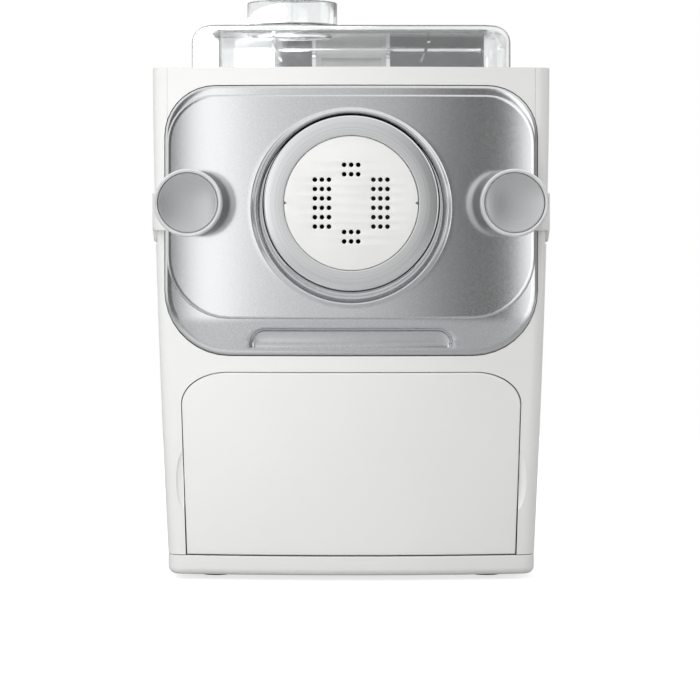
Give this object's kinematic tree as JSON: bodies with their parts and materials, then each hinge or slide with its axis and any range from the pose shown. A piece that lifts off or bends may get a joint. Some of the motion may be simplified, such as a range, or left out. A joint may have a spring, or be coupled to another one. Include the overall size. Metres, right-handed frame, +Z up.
{
  "type": "electric pasta maker",
  "caption": "Countertop electric pasta maker: tapered white body, silver front panel with extruder and locking ring, side lock arms with knobs, clear hinged lid, storage drawer.",
  "frame": {"origin": "on the floor under the middle of the machine", "axes": "+Z up, -Y towards the front panel, +X to the right seen from the front"},
  "size_m": [0.223, 0.399, 0.3291],
  "materials": {
    "body_white": "glossy moulded",
    "disc_white": "satin moulded",
    "tray_white": "satin moulded",
    "panel_silver": "satin metallic paint",
    "face_silver": "satin metallic paint with fine flake",
    "ring_silver": "satin metallic paint",
    "arm_silver": "satin",
    "knob_rim": "pale metallic paint",
    "knob_face": "satin grey",
    "clear_plastic": "clear moulded",
    "inner_grey": "moulded",
    "dark_plastic": "moulded",
    "button_grey": "satin moulded",
    "display": "glossy",
    "steel": "turned and pressed",
    "bronze": "sintered",
    "rubber": "matte",
    "board": "solder mask"
  },
  "bodies": {
    "machine": {"body_housing": "body_white", "rear_cover": "body_white", "base_tray": "body_white", "top_deck": "body_white", "hinge_bracket": "body_white", "shaping_disc": "disc_white", "control_fascia": "body_white", "foot_front_left": "rubber", "foot_front_right": "rubber", "foot_rear_left": "rubber", "foot_rear_right": "rubber", "bulkhead": "inner_grey", "panel_frame": "panel_silver", "panel_face": "face_silver", "extrusion_tube": "inner_grey", "tube_seal": "rubber", "shaft_seal": "rubber", "mixing_chamber": "clear_plastic", "idler_pin": "steel", "gearbox_plate": "inner_grey", "gearbox_cover": "inner_grey", "front_bush": "bronze", "rear_bush": "bronze", "chassis": "steel", "motor_case": "steel", "motor_end_cap": "dark_plastic", "motor_stator": "bronze", "arm_block_left": "inner_grey", "arm_block_right": "inner_grey", "arm_pin_left": "steel", "arm_pin_right": "steel", "hinge_pin": "steel", "display_window": "display", "circuit_board": "board", "drawer_runner_left": "inner_grey", "drawer_runner_right": "inner_grey", "mains_inlet": "dark_plastic"},
    "lid_body": {"lid": "clear_plastic", "water_inlet": "clear_plastic"},
    "ring_body": {"locking_ring": "ring_silver"},
    "shaft_body": {"drive_shaft": "steel", "extruder_screw": "dark_plastic", "mixing_paddle": "steel", "output_gear": "inner_grey"},
    "idler_body": {"idler_gear": "steel"},
    "motor_body": {"motor_rotor": "steel", "motor_pinion": "steel", "cooling_fan": "dark_plastic"},
    "drawer_body": {"drawer_front": "body_white", "drawer_tray": "tray_white"},
    "arm_left_body": {"lock_arm_left": "arm_silver"},
    "arm_right_body": {"lock_arm_right": "arm_silver"},
    "knob_left_body": {"knob_left": "knob_rim", "knob_cap_left": "knob_face"},
    "knob_right_body": {"knob_right": "knob_rim", "knob_cap_right": "knob_face"},
    "power_button_body": {"power_button": "button_grey"},
    "start_button_body": {"start_button": "button_grey"},
    "mode_button_body": {"mode_button": "button_grey"},
    "amount_button_body": {"amount_button": "button_grey"}
  },
  "joints": [
    {"name": "lid_hinge", "type": "hinge", "parent": "machine", "child": "lid_body", "pos_m": [0, 0.0795, 0.3113], "axis": [-1, 0, 0], "range_deg": [0, 90]},
    {"name": "ring_turn", "type": "hinge", "parent": "machine", "child": "ring_body", "pos_m": [0, -0.17, 0.21], "axis": [0, 1, 0], "range_deg": [0, 40]},
    {"name": "motor_spin", "type": "hinge", "parent": "machine", "child": "motor_body", "pos_m": [0, 0.09, 0.1119], "axis": [0, 1, 0], "continuous": true},
    {"name": "idler_spin", "type": "hinge", "parent": "machine", "child": "idler_body", "pos_m": [0, 0.09, 0.1572], "axis": [0, 1, 0], "continuous": true},
    {"name": "shaft_spin", "type": "hinge", "parent": "machine", "child": "shaft_body", "pos_m": [0, 0, 0.21], "axis": [0, 1, 0], "continuous": true},
    {"name": "drawer_slide", "type": "slide", "parent": "machine", "child": "drawer_body", "axis": [0, -1, 0], "range_m": [0, 0.12]},
    {"name": "arm_left_swing", "type": "hinge", "parent": "machine", "child": "arm_left_body", "pos_m": [-0.10226, -0.08, 0.202], "axis": [0, 0, -1], "range_deg": [0, 90]},
    {"name": "arm_right_swing", "type": "hinge", "parent": "machine", "child": "arm_right_body", "pos_m": [0.10226, -0.08, 0.202], "axis": [0, 0, 1], "range_deg": [0, 90]},
    {"name": "knob_left_turn", "type": "hinge", "parent": "arm_left_body", "child": "knob_left_body", "pos_m": [-0.0892, -0.19, 0.21], "axis": [0, 1, 0], "range_deg": [0, 90]},
    {"name": "knob_right_turn", "type": "hinge", "parent": "arm_right_body", "child": "knob_right_body", "pos_m": [0.0892, -0.19, 0.21], "axis": [0, -1, 0], "range_deg": [0, 90]},
    {"name": "power_press", "type": "slide", "parent": "machine", "child": "power_button_body", "axis": [0, 0, -1], "range_m": [0, 0.001], "stiffness_N_per_m": 300},
    {"name": "start_press", "type": "slide", "parent": "machine", "child": "start_button_body", "axis": [0, 0, -1], "range_m": [0, 0.001], "stiffness_N_per_m": 300},
    {"name": "mode_press", "type": "slide", "parent": "machine", "child": "mode_button_body", "axis": [0, 0, -1], "range_m": [0, 0.001], "stiffness_N_per_m": 300},
    {"name": "amount_press", "type": "slide", "parent": "machine", "child": "amount_button_body", "axis": [0, 0, -1], "range_m": [0, 0.001], "stiffness_N_per_m": 300}
  ],
  "couplings": [
    {"joint": "idler_spin", "follows": "motor_spin", "ratio": -0.25},
    {"joint": "shaft_spin", "follows": "motor_spin", "ratio": 0.0625}
  ]
}
